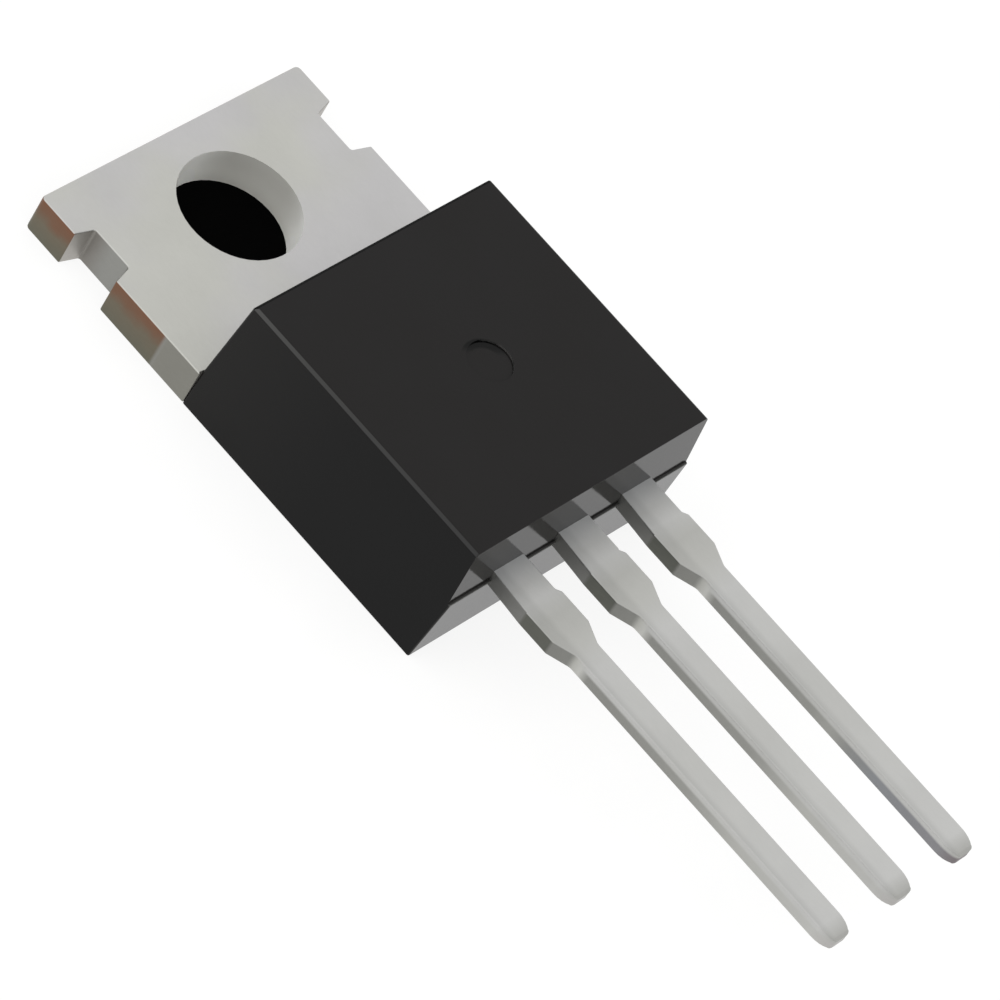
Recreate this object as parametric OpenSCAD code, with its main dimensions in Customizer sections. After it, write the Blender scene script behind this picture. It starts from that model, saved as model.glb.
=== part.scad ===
// Three-lead voltage regulator in a moulded package with a metal tab.
// The origin is on the screw hole's axis, on the back face. +Z points out of
// the front face, +Y from the leads to the tab's top edge.

/* [Tab] */
// Width of the metal tab
tab_w = 9.9; // [9.6:0.05:10.6]
// Thickness of the tab and of the pad that it becomes inside the moulding
tab_t = 1.27; // [1.15:0.01:1.4]
// From the hole's axis to the tab's top edge
tab_top = 2.8; // [2.6:0.05:3.3]
// From the hole's axis to the moulding
tab_foot = 3.57; // [3.3:0.01:4.2]
// Diameter of the screw hole
hole_d = 3.6; // [3.5:0.05:4]
// Radius of the tab's two top corners
tab_corner_r = 0.14; // [0.05:0.01:0.3]

/* [Side notches] */
// Depth of the notch in each side of the tab
notch_d = 0.63; // [0.3:0.01:0.8]
// Length of the notch's flat floor
notch_l = 1.35; // [0.9:0.01:1.5]
// From the hole's axis up to the middle of the notch
notch_y = 0.605; // [0.3:0.005:0.8]
// How far each end of the notch leans outwards
notch_lean = 0.17; // [0.1:0.01:0.4]
// Radius in the notch's inner corners
notch_r = 0.08; // [0.05:0.01:0.25]

/* [Moulding] */
// Length of the moulding along its back
mould_l = 8.98; // [8.6:0.01:9.4]
// Thickness from the back face to the front face
mould_t = 4.2; // [4:0.05:4.8]
// How far the moulding stands out past the tab on each side
mould_margin = 0; // [0:0.01:0.1]
// Draft of the two long sides, in degrees
side_draft = 4.77; // [2:0.01:7]
// Draft of the end above the tab, in degrees
head_draft = 3.6; // [2:0.1:7]
// Draft of the lead end above the parting plane, in degrees
end_draft = 4; // [2:0.1:7]
// Draft of the lead end below the parting plane, in degrees
low_draft = 2.8; // [1:0.1:7]
// Radius of the moulding's upright corners
mould_corner_r = 0.06; // [0.05:0.01:0.4]
// Bevel along the front face's head and sides
front_bevel = 0.08; // [0.04:0.01:0.2]
// From the leads' back up to the parting plane
part_rise = 0.18; // [0.05:0.01:0.3]
// How far the lower half stands out past the upper one at the lead end
part_ledge = 0.07; // [0.03:0.01:0.12]
// Diameter of the ejector pin's mark on the front face
mark_d = 1.34; // [0.8:0.01:2]
// Depth of the ejector pin's mark
mark_depth = 0.06; // [0.02:0.01:0.1]
// From the middle line to the ejector pin's mark
mark_x = 0.2; // [0:0.05:0.5]

/* [Leads] */
// Distance between neighbouring leads
pitch = 2.54; // [2.5:0.01:2.58]
// Thickness of a lead
lead_t = 0.52; // [0.38:0.01:0.55]
// From the back face to the leads' back
lead_back = 2.09; // [2.05:0.01:2.5]
// Length of a lead outside the moulding
lead_l = 12.79; // [9:0.01:14]
// Width of a lead where it leaves the moulding
root_w = 1.18; // [1:0.01:1.3]
// Length of that first stretch along a lead's stepped edge
root_l = 1.13; // [0.8:0.01:1.6]
// Width over the two stubs of the cut dam bar
stub_w = 1.42; // [1.36:0.01:1.6]
// Length of the stubs, without the step that leads into them
stub_l = 1.03; // [0.8:0.01:1.4]
// Length of the step into the stubs
stub_step = 0.16; // [0.05:0.01:0.3]
// Radius of the stubs' corners
stub_r = 0.1; // [0.04:0.01:0.14]
// Length of the neck down to the narrow shank
neck_l = 0.65; // [0.3:0.01:0.9]
// Width of the narrow shank
shank_w = 0.84; // [0.6:0.01:0.95]
// Radius at both ends of the shank's edges
shank_r = 0.3; // [0.1:0.05:0.5]
// Length of the pointed tip
tip_l = 0.6; // [0.3:0.01:1]
// Width at the end of the tip
tip_w = 0.42; // [0.2:0.01:0.5]
// Thickness at the end of the tip
tip_t = 0.22; // [0.1:0.01:0.3]
// Radius of the tip's two corners
tip_r = 0.05; // [0.03:0.01:0.08]

/* [Pad inside the moulding] */
// Width of the pad where it shows on the back
pad_w = 8; // [7:0.05:8.4]
// Length of the pad from the moulding's edge, where it shows on the back
pad_l = 6.05; // [5.7:0.05:6.4]
// Overhang of the upper layer, which the moulding grips under
pad_lip = 0.3; // [0.15:0.01:0.4]
// Thickness of the lower layer
pad_low_t = 0.45; // [0.3:0.01:0.7]
// Radius of the pad's two inner corners
pad_corner_r = 0.6; // [0.3:0.05:1]
// Width of the groove across the pad that holds the moulding
vee_w = 0.4; // [0.2:0.01:0.5]
// Depth of that groove
vee_depth = 0.2; // [0.1:0.01:0.3]
// From the moulding's edge to that groove
vee_y = 0.9; // [0.6:0.05:1.2]
// Slope of the middle lead's bend down to the pad, in degrees
bend_a = 60; // [50:1:70]
// Radius of that bend along the middle of the metal
bend_r = 0.35; // [0.3:0.01:0.4]

/* [Bond posts] */
// Width of the wide post at the inner end of an outer lead
post_w = 2.8; // [2.6:0.05:2.9]
// Length of the post
post_l = 1.7; // [1.4:0.05:1.8]
// From the parting plane's outer edge in to the post
post_in = 0.75; // [0.65:0.01:0.8]
// Gap between a post and the middle lead
post_gap = 0.56; // [0.4:0.01:0.6]
// Length over which a lead widens into its post
post_shoulder = 0.3; // [0.1:0.05:0.5]
// Radius of the post's corners
post_r = 0.2; // [0.1:0.05:0.4]
// Diameter of the hole through each post that locks it in the moulding
lock_d = 0.6; // [0.4:0.05:0.7]

/* [Die] */
// Side of the square silicon die
die_w = 2.3; // [1.8:0.05:2.6]
// Thickness of the die
die_t = 0.28; // [0.2:0.01:0.4]
// Thickness of the solder under the die
solder_t = 0.05; // [0.03:0.01:0.1]
// How far the solder reaches out past the die
solder_rim = 0.1; // [0.05:0.01:0.2]
// From the moulding's edge to the middle of the die
die_y = 3.13; // [2.9:0.01:3.4]

/* [Bond wires] */
// Diameter of the thin wire to the adjust lead
thin_wire_d = 0.2; // [0.12:0.01:0.25]
// Diameter of the two wires that carry the current
power_wire_d = 0.3; // [0.2:0.01:0.38]
// Length of the flattened foot at each end of a wire
foot_l = 0.45; // [0.3:0.01:0.5]
// From the edge of a bonded surface to the wire's foot
bond_inset = 0.3; // [0.2:0.05:0.4]
// Height of the loops to the outer leads, over the line between their feet
loop_h = 0.85; // [0.5:0.05:1]
// Height of the short loop to the pad
short_loop_h = 0.6; // [0.4:0.05:0.8]

/* [Hidden] */

epoxy = "#2d2d2e";
tin = "#bcbcb6";
silicon = "#6d7178";
solder = "#8f9092";
aluminium = "#d9dadb";

hole_fn = 72;
corner_steps = 4;
over = 1; // how far a shape runs on past what it cuts, or into what it joins
foot_x_ratio = 0.75; // half the width of a wire's flattened foot, in wire diameters
foot_z_ratio = 0.3; // half its thickness, in wire diameters
loop_power = 1.4; // above 1, a loop leaves its feet smoothly
round_ratio = 0.15; // share of the loop's height at which the wire is round again
wire_sides = 8;
wire_steps = 24;

mould_w = tab_w + 2 * mould_margin;
head_y = -tab_foot;
base_end_y = head_y - mould_l;
part_z = lead_back + part_rise;
part_y = base_end_y - part_z * tan(low_draft);
tip_y = part_y - lead_l;
lead_mid_z = lead_back + lead_t / 2;
lead_front = lead_back + lead_t;
step_y = part_y - root_l;
stub_y = step_y - stub_step;
neck_y = stub_y - stub_l;
shank_y = neck_y - neck_l;
pad_end_y = head_y - pad_l;
lip_end_y = pad_end_y - pad_lip;
post_out_y = part_y + post_in;
post_in_y = post_out_y + post_l;
post_x0 = root_w / 2 + post_gap;
post_x1 = post_x0 + post_w;
die_mid_y = head_y - die_y;
die_top = tab_t + solder_t + die_t;
bond_y = die_mid_y - die_w / 6;
bond_x = die_w / 3;
post_bond_x = post_x0 + post_w / 3;
post_bond_y = post_in_y - bond_inset - foot_l;

// Points

function unit(v) = v / norm(v);

// Arc that rounds the corner b between a and c with radius r
function corner_arc(a, b, c, r) =
    let (u = unit(a - b), v = unit(c - b), half = acos(u * v) / 2)
    let (mid = b + unit(u + v) * r / sin(half), from = b + u * r / tan(half) - mid)
    let (to = b + v * r / tan(half) - mid, start = atan2(from[1], from[0]))
    let (sweep = (atan2(to[1], to[0]) - start + 540) % 360 - 180)
    [for (i = [0:corner_steps]) mid + r * [cos(start + sweep * i / corner_steps),
                                            sin(start + sweep * i / corner_steps)]];

// Outline from corners [x, y, radius], in which a radius of 0 stays sharp
function rounded(pts) =
    let (n = len(pts), xy = [for (p = pts) [p[0], p[1]]])
    [for (i = [0:n - 1]) each pts[i][2] == 0 ? [xy[i]]
        : corner_arc(xy[(i + n - 1) % n], xy[i], xy[(i + 1) % n], pts[i][2])];

// A right-hand edge followed by its mirror image, as one closed outline
function both_sides(edge) =
    concat(edge, [for (i = [len(edge) - 1:-1:0]) [-edge[i][0], edge[i][1], edge[i][2]]]);

// Solid through a stack of outlines that have the same number of points
module skin(rings) {
    n = len(rings[0]);
    last = (len(rings) - 1) * n;
    sides = [for (k = [0:len(rings) - 2]) for (i = [0:n - 1])
        [k * n + i, (k + 1) * n + i, (k + 1) * n + (i + 1) % n, k * n + (i + 1) % n]];
    polyhedron([for (r = rings) each r],
        concat([[for (i = [0:n - 1]) i]], sides, [[for (i = [n - 1:-1:0]) last + i]]));
}

// Side view in Y and Z, drawn out along X
module across(w) {
    rotate([90, 0, 90]) linear_extrude(w, center = true) children();
}

// Moulding

function side_x(z) = mould_w / 2 - z * tan(side_draft);
function head_face_y(z) = head_y - max(0, z - tab_t) * tan(head_draft);
function end_face_y(z) = z <= part_z ? base_end_y - z * tan(low_draft)
    : part_y + (z - part_z) * tan(end_draft);

// The moulding's outline at height z, drawn in by inset at the head and the sides
function mould_ring(z, inset = 0) =
    let (x = side_x(z) - inset, y0 = end_face_y(z), y1 = head_face_y(z) - inset)
    let (r = mould_corner_r)
    [for (p = rounded([[x, y0, r], [x, y1, r], [-x, y1, r], [-x, y0, r]])) [p[0], p[1], z]];

module mould_shape() {
    skin([mould_ring(0), mould_ring(tab_t), mould_ring(part_z),
          mould_ring(mould_t - front_bevel), mould_ring(mould_t, front_bevel)]);
}

// Everything in front of the upper half's lead end, which lies back by the ledge
module above_ledge() {
    top = mould_t + over;
    across(mould_w + 2 * over) polygon([
        [part_y - over, part_z], [part_y + part_ledge, part_z],
        [end_face_y(top) + part_ledge, top], [part_y - over, top]]);
}

module ejector_mark() {
    mid_y = (head_face_y(mould_t) + end_face_y(mould_t)) / 2;
    translate([mark_x, mid_y, mould_t - mark_depth])
        cylinder(h = over, d = mark_d, $fn = hole_fn);
}

module mould_body() {
    color(epoxy) difference() {
        mould_shape();
        above_ledge();
        ejector_mark();
        pad();
        middle_lead();
        outer_lead(1);
        outer_lead(-1);
        solder_layer();
        die();
        adjust_wire();
        input_wire();
        output_wire();
    }
}

// Tab, pad and middle lead, one piece of metal

module tab_plate() {
    x = tab_w / 2;
    floor_x = x - notch_d;
    low = notch_y - notch_l / 2;
    high = notch_y + notch_l / 2;
    difference() {
        linear_extrude(tab_t) polygon(rounded(both_sides([
            [x, head_y, 0], [x, low - notch_lean, 0], [floor_x, low, notch_r],
            [floor_x, high, notch_r], [x, high + notch_lean, 0], [x, tab_top, tab_corner_r]])));
        translate([0, 0, -over]) cylinder(h = tab_t + 2 * over, d = hole_d, $fn = hole_fn);
    }
}

module pad_layer(w, end_y, z0, z1) {
    root_y = head_y + over;
    translate([0, 0, z0]) linear_extrude(z1 - z0) polygon(rounded(both_sides([
        [w / 2, end_y, pad_corner_r], [w / 2, root_y, 0]])));
}

module pad() {
    y = head_y - vee_y;
    difference() {
        union() {
            pad_layer(pad_w, pad_end_y, 0, tab_t);
            pad_layer(pad_w + 2 * pad_lip, lip_end_y, pad_low_t, tab_t);
        }
        across(tab_w + over) polygon([[y - vee_w / 2, tab_t], [y, tab_t - vee_depth],
            [y + vee_w / 2, tab_t], [y + vee_w / 2, tab_t + over], [y - vee_w / 2, tab_t + over]]);
    }
}

// Side view of the middle lead: out of the pad, up the bend and straight out
module bent_side() {
    low_z = tab_t - lead_t / 2;
    slope_l = (lead_mid_z - low_z - 2 * bend_r * (1 - cos(bend_a))) / sin(bend_a);
    start = [lip_end_y, low_z];
    run = [-cos(bend_a), sin(bend_a)];
    foot_mid = start + [0, bend_r];
    foot_end = foot_mid + bend_r * [-sin(bend_a), -cos(bend_a)];
    top_start = foot_end + slope_l * run;
    top_mid = top_start + bend_r * [-sin(bend_a), -cos(bend_a)];
    angles = [for (i = [0:corner_steps]) bend_a * i / corner_steps];
    h = lead_t / 2;
    lower = concat([[start[0] + pad_lip, low_z - h]],
        [for (a = angles) foot_mid + (bend_r + h) * [-sin(a), -cos(a)]],
        [for (a = angles) top_mid + (bend_r - h) * [sin(bend_a - a), cos(bend_a - a)]]);
    upper = concat([[start[0] + pad_lip, low_z + h]],
        [for (a = angles) foot_mid + (bend_r - h) * [-sin(a), -cos(a)]],
        [for (a = angles) top_mid + (bend_r + h) * [sin(bend_a - a), cos(bend_a - a)]]);
    polygon(concat(lower, tip_side(), [for (i = [len(upper) - 1:-1:0]) upper[i]]));
}

// The tip in side view, from the lead's back to its front
function tip_side() = [
    [tip_y + tip_l, lead_back], [tip_y, lead_mid_z - tip_t / 2],
    [tip_y, lead_mid_z + tip_t / 2], [tip_y + tip_l, lead_front]];

// A lead's right-hand edge, from the tip up to the step above the stub
function step_edge() = [
    [tip_w / 2, tip_y, tip_r], [shank_w / 2, tip_y + tip_l, shank_r], [shank_w / 2, shank_y, shank_r],
    [stub_w / 2, neck_y, stub_r], [stub_w / 2, stub_y, stub_r], [root_w / 2, step_y, stub_r]];

// Its left-hand edge, from the moulding in an even taper to the stub and down to the tip
function taper_edge() = [
    [-root_w / 2, part_y, 0], [-stub_w / 2, stub_y, stub_r], [-stub_w / 2, neck_y, stub_r],
    [-shank_w / 2, shank_y, shank_r], [-shank_w / 2, tip_y + tip_l, shank_r], [-tip_w / 2, tip_y, tip_r]];

module middle_lead() {
    inner_y = lip_end_y + pad_lip;
    intersection() {
        translate([0, 0, -over]) linear_extrude(mould_t + 2 * over) polygon(rounded(concat(
            step_edge(), [[root_w / 2, inner_y, 0], [-root_w / 2, inner_y, 0]], taper_edge())));
        across(mould_w) bent_side();
    }
}

module tab_frame() {
    color(tin) {
        tab_plate();
        pad();
        middle_lead();
    }
}

// Outer leads. Side is 1 on the right and -1 on the left: the posts are mirror images,
// but the stamped edges run the same way round on all three leads.

module outer_lead(side) {
    out_x = post_x1 - pitch;
    in_x = post_x0 - pitch;
    shoulder_y = post_out_y - post_shoulder;
    right_post = [[root_w / 2, shoulder_y, 0], [out_x, post_out_y, post_r], [out_x, post_in_y, post_r],
                  [in_x, post_in_y, post_r], [in_x, post_out_y, post_r], [-root_w / 2, shoulder_y, 0]];
    left_post = [for (i = [len(right_post) - 1:-1:0]) let (p = right_post[i]) [-p[0], p[1], p[2]]];
    post = side > 0 ? right_post : left_post;
    difference() {
        intersection() {
            translate([side * pitch, 0, 0]) linear_extrude(mould_t)
                polygon(rounded(concat(step_edge(), post, taper_edge())));
            across(3 * mould_w) polygon(concat(tip_side(),
                [[post_in_y + over, lead_front], [post_in_y + over, lead_back]]));
        }
        translate([side * (post_x1 - lock_d), (post_out_y + post_in_y) / 2, 0])
            cylinder(h = mould_t, d = lock_d, $fn = hole_fn);
    }
}

module adjust_lead() {
    color(tin) outer_lead(-1);
}

module output_lead() {
    color(tin) outer_lead(1);
}

// Die on its solder

module solder_layer() {
    w = die_w + 2 * solder_rim;
    color(solder) translate([-w / 2, die_mid_y - w / 2, tab_t]) cube([w, w, solder_t]);
}

module die() {
    color(silicon) translate([-die_w / 2, die_mid_y - die_w / 2, tab_t + solder_t])
        cube([die_w, die_w, die_t]);
}

// Bond wires, each from one metal surface to another with a flattened foot at both ends

module bond_wire(a, b, d, h) {
    length = norm([b[0] - a[0], b[1] - a[1]]);
    ahead = [b[0] - a[0], b[1] - a[1], 0] / length;
    side = [-ahead[1], ahead[0], 0];
    foot = [foot_x_ratio, foot_z_ratio] * d;
    round_part = [d / 2, d / 2];
    to_corner = 1 / cos(180 / wire_sides);
    ds = d / 10; // step for the wire's direction
    function share(s) = max(0, min(1, (s - foot_l) / (length - 2 * foot_l)));
    function lift(s) = pow(sin(180 * share(s)), loop_power);
    function climb(s) = (b[2] - a[2]) * pow(share(s), 2) * (3 - 2 * share(s));
    function half(s) = foot + (round_part - foot) * min(1, lift(s) / round_ratio);
    function middle(s) = a + ahead * s + [0, 0, climb(s) + half(s)[1] + h * lift(s)];
    function heading(s) =
        unit(middle(min(length, s + ds)) - middle(max(0, s - ds)));
    function ring(s) = let (up = cross(heading(s), side))
        [for (i = [0:wire_sides - 1]) let (t = (i + 0.5) * 360 / wire_sides)
            middle(s) + (half(s)[0] * cos(t) * side + half(s)[1] * sin(t) * up) * to_corner];
    color(aluminium) skin([for (k = [0:wire_steps]) ring(length * k / wire_steps)]);
}

module adjust_wire() {
    bond_wire([-bond_x, bond_y, die_top],
              [-post_bond_x, post_bond_y, lead_front], thin_wire_d, loop_h);
}

module input_wire() {
    bond_wire([0, bond_y, die_top], [0, pad_end_y + bond_inset, tab_t], power_wire_d, short_loop_h);
}

module output_wire() {
    bond_wire([bond_x, bond_y, die_top],
              [post_bond_x, post_bond_y, lead_front], power_wire_d, loop_h);
}

mould_body();
tab_frame();
adjust_lead();
output_lead();
die();
solder_layer();
adjust_wire();
input_wire();
output_wire();
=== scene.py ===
"""A three-lead voltage regulator on its back: finishes, rounded edges, light and camera."""

import math

import bmesh
import bpy
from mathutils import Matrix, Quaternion, Vector
from mathutils.bvhtree import BVHTree


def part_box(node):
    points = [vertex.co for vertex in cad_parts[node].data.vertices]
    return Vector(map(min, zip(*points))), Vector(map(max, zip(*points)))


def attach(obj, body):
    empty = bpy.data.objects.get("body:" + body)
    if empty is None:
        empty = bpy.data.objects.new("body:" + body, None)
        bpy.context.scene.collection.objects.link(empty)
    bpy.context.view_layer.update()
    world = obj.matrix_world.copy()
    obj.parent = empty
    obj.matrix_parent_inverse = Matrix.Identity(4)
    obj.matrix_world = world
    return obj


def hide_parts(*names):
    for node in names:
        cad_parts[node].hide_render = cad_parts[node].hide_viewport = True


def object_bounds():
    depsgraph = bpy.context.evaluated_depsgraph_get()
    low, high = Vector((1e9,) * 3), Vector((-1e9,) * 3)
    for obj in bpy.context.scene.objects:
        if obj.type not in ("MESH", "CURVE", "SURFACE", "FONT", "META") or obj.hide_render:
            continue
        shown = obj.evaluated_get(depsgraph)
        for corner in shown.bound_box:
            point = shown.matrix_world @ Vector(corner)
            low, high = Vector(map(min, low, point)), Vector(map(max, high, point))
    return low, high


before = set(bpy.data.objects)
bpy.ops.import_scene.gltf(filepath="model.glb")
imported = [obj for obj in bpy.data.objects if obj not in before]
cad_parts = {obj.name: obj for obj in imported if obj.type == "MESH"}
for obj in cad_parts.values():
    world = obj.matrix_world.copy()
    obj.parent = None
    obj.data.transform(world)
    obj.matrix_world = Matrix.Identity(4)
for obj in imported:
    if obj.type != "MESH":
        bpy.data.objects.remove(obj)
CAD_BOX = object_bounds()

MM = 0.001

# The picture: where the camera points, from how far and how it is turned
AIM = Vector((-2.776, -11.502, 4.2)) * MM
CAMERA_DISTANCE = 178.43 * MM
CAMERA_AZIMUTH = -71.109
CAMERA_ELEVATION = 46.374
CAMERA_ROLL = 34.121
LENS_LENGTH = 253.59
FILM_WIDTH = 36
FLOOR_GAP = 0.01 * MM

# Places on the part, in millimetres from the screw hole's axis on the back face
TAB_LOW, TAB_HIGH = (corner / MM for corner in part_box("tab_frame"))
MOULD_LOW, MOULD_HIGH = (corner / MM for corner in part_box("mould_body"))
TAB_SIDE = TAB_HIGH.x
TAB_HEAD = TAB_HIGH.y
LEAD_TIP = TAB_LOW.y
LEAD_PITCH = 2.54
LEAD_MIDDLE = 2.35
MOULD_HEAD = MOULD_HIGH.y
MOULD_FOOT = MOULD_LOW.y
FRONT = MOULD_HIGH.z
HOLE = Vector((0, 0, 0))
STUB_TOP = -13.95
STUB_END = -14.98
NECK_END = -15.63
MARK = Vector((0.2, -8.171, 4.2))

# The leads' tips, in millimetres: half the thickness at the end grows by the swell to the shoulder
TIP_LENGTH = 0.6
TIP_HALF_THICKNESS = 0.11
TIP_SWELL = 0.15
TIP_CUTS = (0.04, 0.1, 0.18, 0.3, 0.44)
SHOULDER_ARC = 0.15
SHOULDER_MERGE = 0.06

# How far edges are rounded, in millimetres
WIDEST_ROUNDING = 0.1
TAB_ROUNDING = 0.06
TAB_CORNER_ROUNDING = 0.03
LEAD_ROUNDING = 0.045
MOULD_ROUNDING = 0.03
MARK_ROUNDING = 0.015
LEDGE_ROUNDING = 0.01

# In metres: points closer than the first are one point, and a ray starts the second off its face
SAME_POINT = 1e-7
RAY_START = 1e-5


# Shapes


def heading(edge):
    """The direction of an edge, with no sign, as a vector of length 1."""
    run = (edge.verts[1].co - edge.verts[0].co).normalized()
    return Vector((abs(run.x), abs(run.y), abs(run.z)))


def sheet_edge(edge, middle):
    """The rounding, in millimetres, of one edge of the stamped lead frame."""
    if MOULD_FOOT - 0.05 < middle.y < MOULD_HEAD and middle.z > 0.01:
        return 0
    way = heading(edge)
    if middle.y < LEAD_TIP + TIP_LENGTH + 0.1:
        return LEAD_ROUNDING if way.y > 0.8 else 0
    if middle.y <= MOULD_FOOT:
        return LEAD_ROUNDING if way.z < 0.3 else 0
    return TAB_ROUNDING if way.z < 0.5 else TAB_CORNER_ROUNDING


def mould_edge(_, middle):
    """The rounding, in millimetres, of one edge of the moulding."""
    if (middle - MARK).length < 1:
        return MARK_ROUNDING
    near_a_face = middle.z > FRONT - 0.5 or middle.z < 0.5
    return MOULD_ROUNDING if near_a_face else LEDGE_ROUNDING


def cut_across(bm, point, across):
    """Cuts a mesh by the plane through a point, in millimetres, and gives what the cut made."""
    whole = [*bm.verts, *bm.edges, *bm.faces]
    made = bmesh.ops.bisect_plane(
        bm,
        geom=whole,
        plane_co=point * MM,
        plane_no=across,
        dist=SAME_POINT,
    )
    return made["geom_cut"]


def blunt_tips(bm):
    """Swells the flat-sided tips of the leads into blunt rounded noses.

    A tip is twice as wide at its shoulder as at its end.
    """
    shoulder = (LEAD_TIP + TIP_LENGTH) * MM
    arcs = [vert for vert in bm.verts if abs(vert.co.y - shoulder) < SHOULDER_ARC * MM]
    bmesh.ops.remove_doubles(bm, verts=arcs, dist=SHOULDER_MERGE * MM)
    for run in TIP_CUTS:
        cut_across(bm, Vector((0, LEAD_TIP + run, 0)), (0, 1, 0))
    for vert in bm.verts:
        share = (vert.co.y / MM - LEAD_TIP) / TIP_LENGTH
        if share >= 1:
            continue
        nose = math.sqrt(1 - (1 - max(share, 0)) ** 2)
        middle = LEAD_PITCH * round(vert.co.x / MM / LEAD_PITCH) * MM
        vert.co.x = middle + (vert.co.x - middle) * (1 + nose) / (1 + share)
        straight = TIP_HALF_THICKNESS + TIP_SWELL * share
        height = (TIP_HALF_THICKNESS + TIP_SWELL * nose) / straight
        vert.co.z = LEAD_MIDDLE * MM + (vert.co.z - LEAD_MIDDLE * MM) * height


def outside(bm):
    """The faces of a mesh that nothing of the mesh stands in front of."""
    tree = BVHTree.FromBMesh(bm)
    shown = set()
    for face in bm.faces:
        start = face.calc_center_median() + face.normal * RAY_START
        if tree.ray_cast(start, face.normal)[0] is None:
            shown.add(face)
    return shown


def weigh_edges(bm, rounding):
    """Writes on each sharp outer edge how much of the widest rounding it gets."""
    bm.faces.ensure_lookup_table()
    shown = outside(bm)
    weight = bm.edges.layers.float.new("bevel_weight_edge")
    for edge in bm.edges:
        if len(edge.link_faces) != 2 or not shown.issuperset(edge.link_faces):
            continue
        if edge.calc_face_angle() < math.radians(25):
            continue
        middle = (edge.verts[0].co + edge.verts[1].co) / 2 / MM
        edge[weight] = rounding(edge, middle) / WIDEST_ROUNDING


def rounded_copy(node, name, rounding, ring=None, reshape=None):
    """A copy of a CAD node whose outer edges are rounded as the rule says.

    Cuts across the middle of a ring, such as a hole, keep the faces round it even.
    """
    bm = bmesh.new()
    bm.from_mesh(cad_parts[node].data)
    bmesh.ops.remove_doubles(bm, verts=bm.verts, dist=SAME_POINT)
    if ring is not None:
        for across in ((1, 0, 0), (0, 1, 0)):
            for part in cut_across(bm, ring, across):
                if isinstance(part, bmesh.types.BMEdge):
                    part.seam = True
    bmesh.ops.dissolve_limit(
        bm,
        angle_limit=math.radians(0.5),
        verts=bm.verts,
        edges=bm.edges,
        delimit={"SEAM"},
    )
    if reshape is not None:
        reshape(bm)
    weigh_edges(bm, rounding)
    mesh = bpy.data.meshes.new(name)
    bm.to_mesh(mesh)
    bm.free()
    piece = bpy.data.objects.new(name, mesh)
    bpy.context.scene.collection.objects.link(piece)
    bevel = piece.modifiers.new("rounded_edges", "BEVEL")
    bevel.limit_method = "WEIGHT"
    bevel.width = WIDEST_ROUNDING * MM
    bevel.segments = 4
    bevel.use_clamp_overlap = False
    bevel.harden_normals = True
    bevel.miter_outer = "MITER_ARC"
    bpy.context.view_layer.update()
    shaped = piece.evaluated_get(bpy.context.evaluated_depsgraph_get())
    made = bpy.data.meshes.new_from_object(shaped)
    piece.modifiers.clear()
    piece.data = made
    bpy.data.meshes.remove(mesh)
    return piece


# Finishes


def light(value):
    """One part of a colour, read from 0 to 255, as the light it sends back."""
    if value > 10:
        return ((value / 255 + 0.055) / 1.055) ** 2.4
    return value / 255 / 12.92


def paint(red, green, blue):
    """A colour read from 0 to 255, as the light it sends back."""
    return light(red), light(green), light(blue)


class Level:
    """A socket's value while a finish is made. The usual signs add Math nodes."""

    def __init__(self, finish, socket):
        self.finish = finish
        self.socket = socket

    def __add__(self, other):
        return self.finish.maths("ADD", self, other)

    def __sub__(self, other):
        return self.finish.maths("SUBTRACT", self, other)

    def __rsub__(self, other):
        return self.finish.maths("SUBTRACT", other, self)

    def __mod__(self, other):
        return self.finish.maths("FLOORED_MODULO", self, other)

    def __mul__(self, other):
        return self.finish.maths("MULTIPLY", self, other)

    def __abs__(self):
        return self.finish.maths("ABSOLUTE", self, 0)

    __radd__ = __add__
    __rmul__ = __mul__


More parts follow.
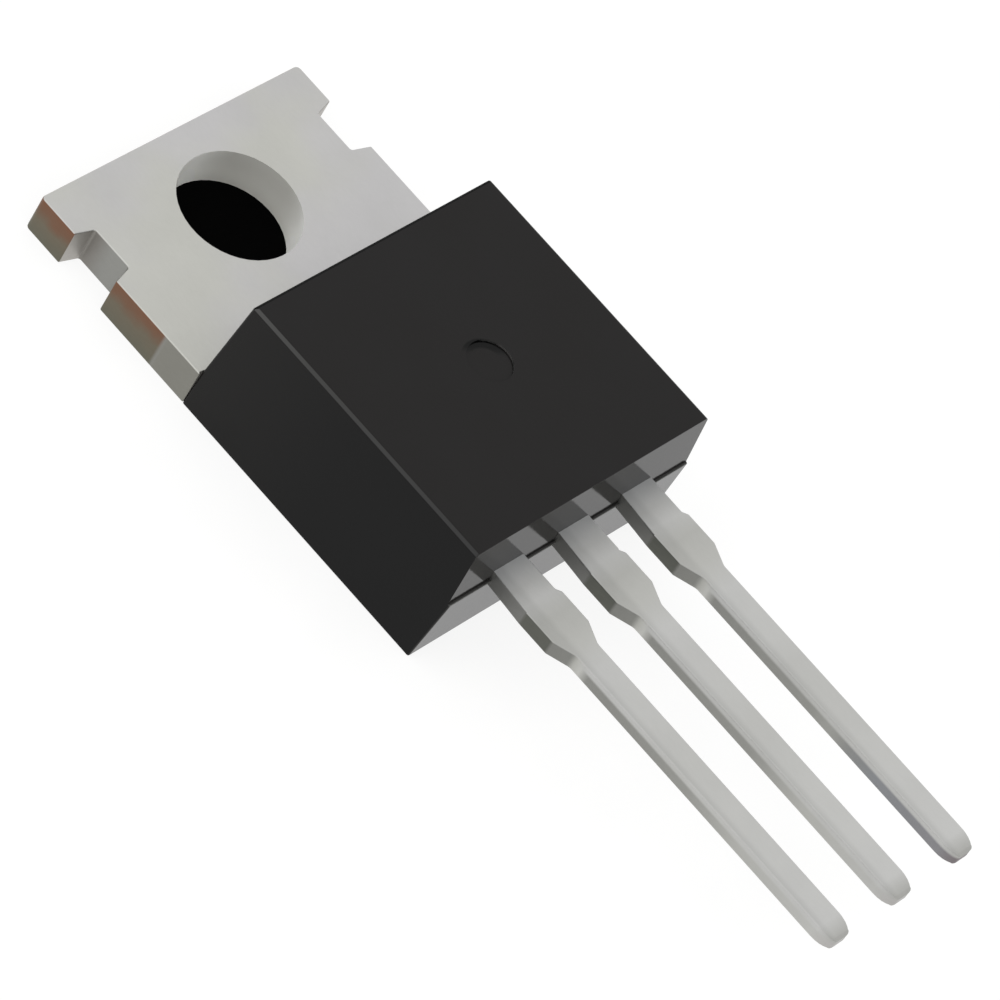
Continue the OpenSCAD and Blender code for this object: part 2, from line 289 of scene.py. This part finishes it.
class Finish:
    """One material and the nodes that it is made of."""

    def __init__(self, name, **fixed):
        self.material = bpy.data.materials.new(name)
        self.material.use_nodes = True
        self.nodes = self.material.node_tree.nodes
        self.links = self.material.node_tree.links
        self.surface = self.nodes["Principled BSDF"]
        self.wear(**fixed)

    def feed(self, socket, value):
        """Links a level to a socket, or sets a number or colour on it."""
        if isinstance(value, Level):
            self.links.new(value.socket, socket)
        elif socket.type == "RGBA":
            socket.default_value = (*value, 1)
        else:
            socket.default_value = value

    def node(self, kind, settings=None, sockets=None, gives=0):
        """A node of any kind: its settings first, then the values or links of its sockets."""
        made = self.nodes.new(kind)
        for setting, value in (settings or {}).items():
            if setting == "stops":
                self.set_stops(made.color_ramp.elements, value)
            else:
                setattr(made, setting, value)
        for key, value in (sockets or {}).items():
            self.feed(made.inputs[key], value)
        return Level(self, made.outputs[gives])

    def set_stops(self, ramp, stops):
        """Gives a ramp its colours: the first at 0, the last at 1, the rest between."""
        ramp[0].color = (*stops[0][1], 1)
        ramp[1].color = (*stops[-1][1], 1)
        for share, colour in stops[1:-1]:
            ramp.new(share).color = (*colour, 1)

    def maths(self, operation, first, second):
        """What a Math node makes of two levels or numbers."""
        return self.node("ShaderNodeMath", {"operation": operation}, {0: first, 1: second})

    def vector_maths(self, operation, sockets):
        """What a Vector Math node makes of its sockets."""
        return self.node("ShaderNodeVectorMath", {"operation": operation}, sockets)

    def place(self):
        """Where a point of the piece lies, in millimetres."""
        metres = self.node("ShaderNodeTexCoord", gives="Object")
        return self.vector_maths("SCALE", {0: metres, "Scale": 1 / MM})

    def facing(self):
        """The three parts of the direction that a point of the piece faces."""
        return self.axes(self.node("ShaderNodeTexCoord", gives="Normal"))

    def axes(self, vector):
        """The three parts of a vector."""
        split = self.node("ShaderNodeSeparateXYZ", sockets={0: vector})
        return [Level(self, socket) for socket in split.socket.node.outputs]

    def rise(self, level, start, end):
        """A smooth step of level, 0 at start and 1 at end."""
        settings = {"interpolation_type": "SMOOTHSTEP"}
        sockets = {"Value": level, "From Min": start, "From Max": end}
        return self.node("ShaderNodeMapRange", settings, sockets)

    def grain(self, place, size, detail, stretch=None):
        """Noise from 0 to 1 whose patches are about size millimetres wide."""
        if stretch:
            place = self.vector_maths("MULTIPLY", {0: place, 1: stretch})
        sockets = {"Vector": place, "Scale": 1 / size, "Detail": detail}
        return self.node("ShaderNodeTexNoise", sockets=sockets)

    def mix(self, share, first, second):
        """One colour turning into another as share goes from 0 to 1."""
        sockets = {0: share, 6: first, 7: second}
        return self.node("ShaderNodeMix", {"data_type": "RGBA"}, sockets, gives=2)

    def along(self, level, *stops):
        """The colour at each value of level, from values in rising order and their colours."""
        first, last = stops[0][0], stops[-1][0]
        sockets = {"Value": level, "From Min": first, "From Max": last}
        share = self.node("ShaderNodeMapRange", sockets=sockets)
        shares = [((value - first) / (last - first), colour) for value, colour in stops]
        return self.node("ShaderNodeValToRGB", {"stops": shares}, {0: share})

    def shade(self, colour, level):
        """A colour made darker or lighter by level."""
        return self.vector_maths("SCALE", {0: colour, "Scale": level})

    def relief(self, height, depth, strength=1.0):
        """Bumps the surface by height, which goes from 0 to 1 over depth millimetres."""
        sockets = {"Strength": strength, "Distance": depth * MM, "Height": height}
        self.wear(Normal=self.node("ShaderNodeBump", sockets=sockets))

    def wear(self, **levels):
        """Feeds the shader's own sockets, which are named with _ for each space."""
        for socket, level in levels.items():
            self.feed(self.surface.inputs[socket.replace("_", " ")], level)


def epoxy():
    """Black moulding compound with a fine grain, and painted light and shade: painted highlights on
    its front edges, sides painted darker towards the leads, a painted shadow at the ejector mark
    and painted light on the parting ledge.
    """
    finish = Finish("epoxy", IOR=1.25)
    place = finish.place()
    x, y, z = finish.axes(place)
    side_x, side_y, up = finish.facing()
    near_front = finish.rise(z, FRONT - 0.2, FRONT - 0.1)
    cloud = finish.grain(place, 2.5, 3)
    specks = finish.grain(place, 0.12, 2)

    front = finish.mix(cloud, paint(25, 23, 22), paint(28, 27, 27))
    # The sides: painted shade, darker towards the leads
    flank = finish.along(
        y,
        (MOULD_FOOT, paint(3, 3, 3)),
        (-8, paint(6, 6, 6)),
        (MOULD_HEAD, paint(21, 20, 19)),
    )
    body = finish.mix(finish.rise(abs(side_x), 0.8, 0.95), front, flank)

    # The ejector pin's mark: a painted shadow in an arc beside its middle, and painted light on its
    # wall
    mark_x = x - (MARK.x - 0.1)
    mark_y = y - (MARK.y + 0.06)
    spread = mark_x * mark_x + mark_y * mark_y
    painted_shadow_arc = finish.rise(spread, 0.17, 0.27) * finish.rise(spread, 0.56, 0.47)
    painted_shadow_arc *= finish.rise(mark_x * 0.53 + mark_y * 0.85, 0.2, 0.5) * near_front
    wall = finish.rise(spread, 0.7, 0.6) * finish.rise(up, 0.9, 0.7) * near_front
    wall *= finish.rise(mark_y, 0.5, 0.3)
    body = finish.mix(painted_shadow_arc, body, paint(0, 0, 0))
    body = finish.mix(wall, body, paint(76, 75, 74))

    # Painted highlights along the front edges' roundings, paler towards the tab
    slope = finish.rise(abs(side_x), 0.3, 0.5) * finish.rise(abs(side_x), 0.95, 0.85)
    painted_edge_highlight = finish.along(
        y,
        (MOULD_FOOT, paint(48, 48, 48)),
        (-6, paint(60, 60, 59)),
        (MOULD_HEAD, paint(72, 72, 71)),
    )
    body = finish.mix(slope * near_front, body, painted_edge_highlight)

    # The parting ledge: painted light, palest at its outer edge, which thins its dark line
    ledge = finish.rise(up, 0.3, 0.7) * finish.rise(z, LEAD_MIDDLE + 0.3, LEAD_MIDDLE + 0.2)
    painted_ledge_light = finish.along(
        y,
        (MOULD_FOOT, paint(130, 130, 128)),
        (MOULD_FOOT + 0.025, paint(74, 74, 72)),
        (MOULD_FOOT + 0.07, paint(44, 44, 43)),
    )
    body = finish.mix(ledge, body, painted_ledge_light)
    head_edge = finish.rise(side_y, 0.1, 0.3) * finish.rise(up, 0.1, 0.3)
    foot = finish.rise(side_y, -0.7, -0.9)
    finish.wear(
        Base_Color=finish.mix(head_edge, body, paint(0, 0, 0)),
        Roughness=0.16 + cloud * 0.06 + specks * 0.05 - foot * 0.1 + head_edge * 0.6,
    )
    finish.relief(specks, 0.004, 0.4)
    return finish.material


def lead_tones(finish, x, y, z):
    """The colours of the leads' flat faces and of their cut sides, from the tips up, with painted
    light and shade along them.
    """
    # Tops: painted light and shade along the lead
    top = finish.along(
        y,
        (LEAD_TIP, paint(176, 176, 172)),
        (-24.9, paint(201, 201, 199)),
        (-19.5, paint(194, 194, 191)),
        (-16.2, paint(199, 199, 197)),
        (-15.3, paint(191, 191, 187)),
        (-14.4, paint(184, 184, 180)),
        (-13.8, paint(194, 194, 192)),
        (-13.3, paint(183, 183, 181)),
        (MOULD_FOOT, paint(186, 187, 187)),
    )
    # Painted shade on the left part of each lead's top and its rounded edge
    across = (x + LEAD_PITCH / 2) % LEAD_PITCH - LEAD_PITCH / 2
    top = finish.shade(top, 0.89 + finish.rise(across, -0.4, -0.15) * 0.11)

    # Sides: painted light and shade along the lead, with a painted highlight where the neck meets
    # the shank; the stub's olive is the colour of its cut face
    side = finish.along(
        y,
        (LEAD_TIP, paint(176, 174, 172)),
        (-24.8, paint(186, 186, 183)),
        (-22, paint(176, 176, 172)),
        (-20, paint(150, 150, 146)),
        (-17, paint(142, 142, 138)),
        (-16.2, paint(142, 142, 138)),
        (-15.9, paint(192, 192, 188)),
        (NECK_END - 0.05, paint(180, 180, 175)),
        (NECK_END + 0.1, paint(134, 134, 130)),
        (STUB_END, paint(130, 130, 126)),
        (STUB_END + 0.05, paint(97, 98, 92)),
        (STUB_TOP - 0.03, paint(97, 98, 92)),
        (STUB_TOP + 0.03, paint(128, 128, 125)),
        (MOULD_FOOT, paint(138, 138, 135)),
    )
    output_side = finish.along(
        y,
        (LEAD_TIP, paint(126, 119, 121)),
        (-24.9, paint(140, 139, 142)),
        (-22.5, paint(138, 140, 143)),
        (-21, paint(142, 142, 139)),
    )
    output_end = finish.rise(x, 1, 1.5) * finish.rise(y, -20.5, -21.5)
    side = finish.mix(output_end, side, output_side)
    # Painted light: the top strip of each shank's side takes the top's colour, standing in for a
    # rounded edge that catches the light
    painted_edge_light = finish.rise(z, 2.38, 2.49) * finish.rise(y, NECK_END - 0.1, NECK_END - 0.4)
    return top, finish.mix(painted_edge_light, side, top)


def tab_side_tone(finish, place, side_y, mottle):
    """The colour of the tab's sides: cut and tinned, or bare copper where the strip was sheared."""
    x, y, z = finish.axes(place)
    layer = z + mottle * 0.5 + finish.grain(place, 0.5, 2) * 0.5 - 0.5
    sheared = finish.along(
        layer,
        (0.1, paint(106, 104, 92)),
        (0.6, paint(112, 105, 91)),
        (1.0, paint(118, 91, 74)),
        (1.4, paint(122, 86, 66)),
    )
    cut = finish.mix(finish.rise(y, 0.5, 1.2), paint(145, 145, 141), paint(134, 131, 126))
    cut = finish.mix(finish.rise(y, -2.2, -2.35), cut, paint(134, 133, 126))
    # The notch's end face is painted paler: painted light
    below_head = finish.rise(y, TAB_HEAD - 0.4, TAB_HEAD - 0.5)
    notch_end = finish.rise(abs(side_y), 0.8, 0.97) * below_head
    cut = finish.mix(notch_end, cut, paint(176, 173, 168))
    edge = finish.rise(abs(x), TAB_SIDE - 0.12, TAB_SIDE - 0.05)
    upper_ear = finish.rise(y, 1.25, 1.35)
    lower_ear = finish.rise(y, -2.3, -2.15) * finish.rise(y, -0.02, -0.1)
    side = finish.mix(edge * (upper_ear + lower_ear) * (1 - notch_end), cut, sheared)
    return finish.mix(finish.rise(y, TAB_HEAD - 0.1, TAB_HEAD - 0.02), side, sheared)


def bore_tone(finish, x, y, z):
    """The colour of the screw hole's wall, with painted reflection and light: paler on its left and
    towards the back.
    """
    left = finish.rise(x * 0.94 + y * 0.342, 1.7, 0.55)
    wall = finish.mix(left, paint(194, 193, 187), paint(246, 246, 242))
    return finish.shade(wall, finish.rise(z, 1.1, 0.1) * 0.3 + 1)


def tinned_copper():
    """Matte tin over copper, with darker cut sides, bare copper where the strip was sheared, and
    painted light and shade on the leads, the notch's end and the screw hole's wall.
    """
    finish = Finish("tinned_copper")
    place = finish.place()
    x, y, z = finish.axes(place)
    _, side_y, up = finish.facing()
    drift = finish.rise(finish.grain(place, 4, 2), 0.35, 0.65)
    mottle = finish.grain(place, 1.6, 3)
    satin = finish.grain(place, 0.09, 2, stretch=(1, 0.35, 1))
    flat = finish.rise(abs(up), 0.35, 0.8)
    bore = finish.rise(x * x + y * y, 3.6, 3.4) * (1 - flat)
    on_lead = finish.rise(y, MOULD_FOOT + 0.3, MOULD_FOOT + 0.2)

    side = tab_side_tone(finish, place, side_y, mottle)
    side = finish.mix(bore, side, bore_tone(finish, x, y, z))
    tab_top = finish.mix(drift, paint(198, 198, 192), paint(197, 196, 196))
    tab = finish.mix(flat, side, tab_top)

    lead_top, lead_side = lead_tones(finish, x, y, z)
    # Painted shade that dims the highlight on the leads' rounded edges
    painted_edge_shade = finish.rise(up, 0.97, 0.85) * finish.rise(up, 0.3, 0.5)
    lead = finish.shade(finish.mix(flat, lead_side, lead_top), 1 - painted_edge_shade * 0.07)
    tone = 0.94 + mottle * 0.12
    finish.wear(
        Base_Color=finish.shade(finish.mix(on_lead, tab, lead), tone),
        Metallic=1 - bore,
        Roughness=0.42 + satin * 0.12,
    )
    finish.relief(satin, 0.003, 0.5)
    return finish.material


def inner_finish(name, dark, pale, size, metallic):
    """A finish for a piece inside the moulding: two close shades in fine patches."""
    finish = Finish(name, Metallic=metallic)
    patches = finish.grain(finish.place(), size, 3)
    finish.wear(Base_Color=finish.mix(patches, dark, pale), Roughness=0.3 + patches * 0.2)
    finish.relief(patches, 0.002)
    return finish.material


# The picture


def towards(azimuth, elevation):
    """The way from the part to a place, as a vector of length 1, from angles in degrees."""
    turn, lift = math.radians(azimuth), math.radians(elevation)
    return Vector(
        (
            math.sin(turn) * math.cos(lift),
            -math.cos(turn) * math.cos(lift),
            math.sin(lift),
        )
    )


def stand_camera():
    """Puts the camera at the picture's angle and distance."""
    back = towards(CAMERA_AZIMUTH, CAMERA_ELEVATION)
    lens = bpy.data.cameras.new("camera")
    lens.lens = LENS_LENGTH
    lens.sensor_width = FILM_WIDTH
    lens.clip_start = 10 * MM
    lens.clip_end = 10
    camera = bpy.data.objects.new("camera", lens)
    bpy.context.scene.collection.objects.link(camera)
    camera.location = AIM + back * CAMERA_DISTANCE
    camera.rotation_mode = "QUATERNION"
    level = (-back).to_track_quat("-Z", "Y")
    camera.rotation_quaternion = level @ Quaternion((0, 0, 1), math.radians(CAMERA_ROLL))
    bpy.context.scene.camera = camera


def soft_light(name, azimuth, elevation, distance, size, power):
    """A square lamp that faces the part."""
    back = towards(azimuth, elevation)
    panel = bpy.data.lights.new(name, "AREA")
    panel.size = size
    panel.energy = power
    lamp = bpy.data.objects.new(name, panel)
    bpy.context.scene.collection.objects.link(lamp)
    lamp.location = AIM + back * distance
    lamp.rotation_mode = "QUATERNION"
    lamp.rotation_quaternion = back.to_track_quat("Z", "Y")


def room():
    """An even white surround and one soft lamp on the left."""
    world = bpy.data.worlds.new("room")
    bpy.context.scene.world = world
    world.use_nodes = True
    sky = world.node_tree.nodes["Background"]
    sky.inputs["Color"].default_value = (1, 1, 1, 1)
    sky.inputs["Strength"].default_value = 0.95
    soft_light("left_panel", azimuth=-107, elevation=40, distance=0.6, size=0.5, power=0.35)


def floor():
    """A pale board under the part, with a painted shadow, near black, where it would show through
    the screw hole.
    """
    bm = bmesh.new()
    bmesh.ops.create_grid(bm, x_segments=1, y_segments=1, size=2)
    mesh = bpy.data.meshes.new("floor")
    bm.to_mesh(mesh)
    bm.free()
    board = bpy.data.objects.new("floor", mesh)
    bpy.context.scene.collection.objects.link(board)
    board.location.z = CAD_BOX[0].z - FLOOR_GAP
    finish = Finish("pale_floor", Roughness=0.9, Specular_IOR_Level=0, Emission_Strength=1)
    place = finish.place()
    x, y, _ = finish.axes(place)
    grain = finish.grain(place, 3, 3)
    # A painted shadow, near black, on the floor under the screw hole
    painted_hole_shadow = finish.rise(x * x + y * y, 3.45, 3.35)
    board_colour = finish.mix(grain, paint(119, 119, 118), paint(123, 123, 122))
    glow = finish.mix(grain, paint(235, 235, 235), paint(238, 238, 238))
    finish.wear(
        Base_Color=finish.mix(painted_hole_shadow, board_colour, paint(4, 4, 4)),
        Emission_Color=finish.mix(painted_hole_shadow, glow, paint(2, 2, 2)),
    )
    mesh.materials.append(finish.material)


def dress(piece, material):
    """Gives a piece its finish."""
    piece.data.materials.clear()
    piece.data.materials.append(material)


bpy.context.scene.view_settings.view_transform = "Standard"
stand_camera()
room()
floor()

tin = tinned_copper()
for node, name, ring in (
    ("tab_frame", "tab_and_middle_lead", HOLE),
    ("adjust_lead", "adjust_lead_tinned", None),
    ("output_lead", "output_lead_tinned", None),
):
    piece = rounded_copy(node, name, sheet_edge, ring, blunt_tips)
    dress(piece, tin)
    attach(piece, "root")
    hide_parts(node)

moulding = rounded_copy("mould_body", "moulding", mould_edge, MARK)
dress(moulding, epoxy())
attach(moulding, "root")
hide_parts("mould_body")

silicon = inner_finish("silicon", paint(70, 74, 86), paint(92, 92, 104), 0.4, 0.6)
solder = inner_finish("solder", paint(120, 120, 118), paint(150, 150, 148), 0.2, 1)
bond_wire = inner_finish("bond_wire", paint(196, 196, 194), paint(214, 214, 210), 0.1, 1)
for node, material, slot in (
    ("die", silicon, "silicon"),
    ("solder_layer", solder, "solder"),
    ("adjust_wire", bond_wire, "bond_wire"),
    ("input_wire", bond_wire, "bond_wire"),
    ("output_wire", bond_wire, "bond_wire"),
):
    dress(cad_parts[node], material)
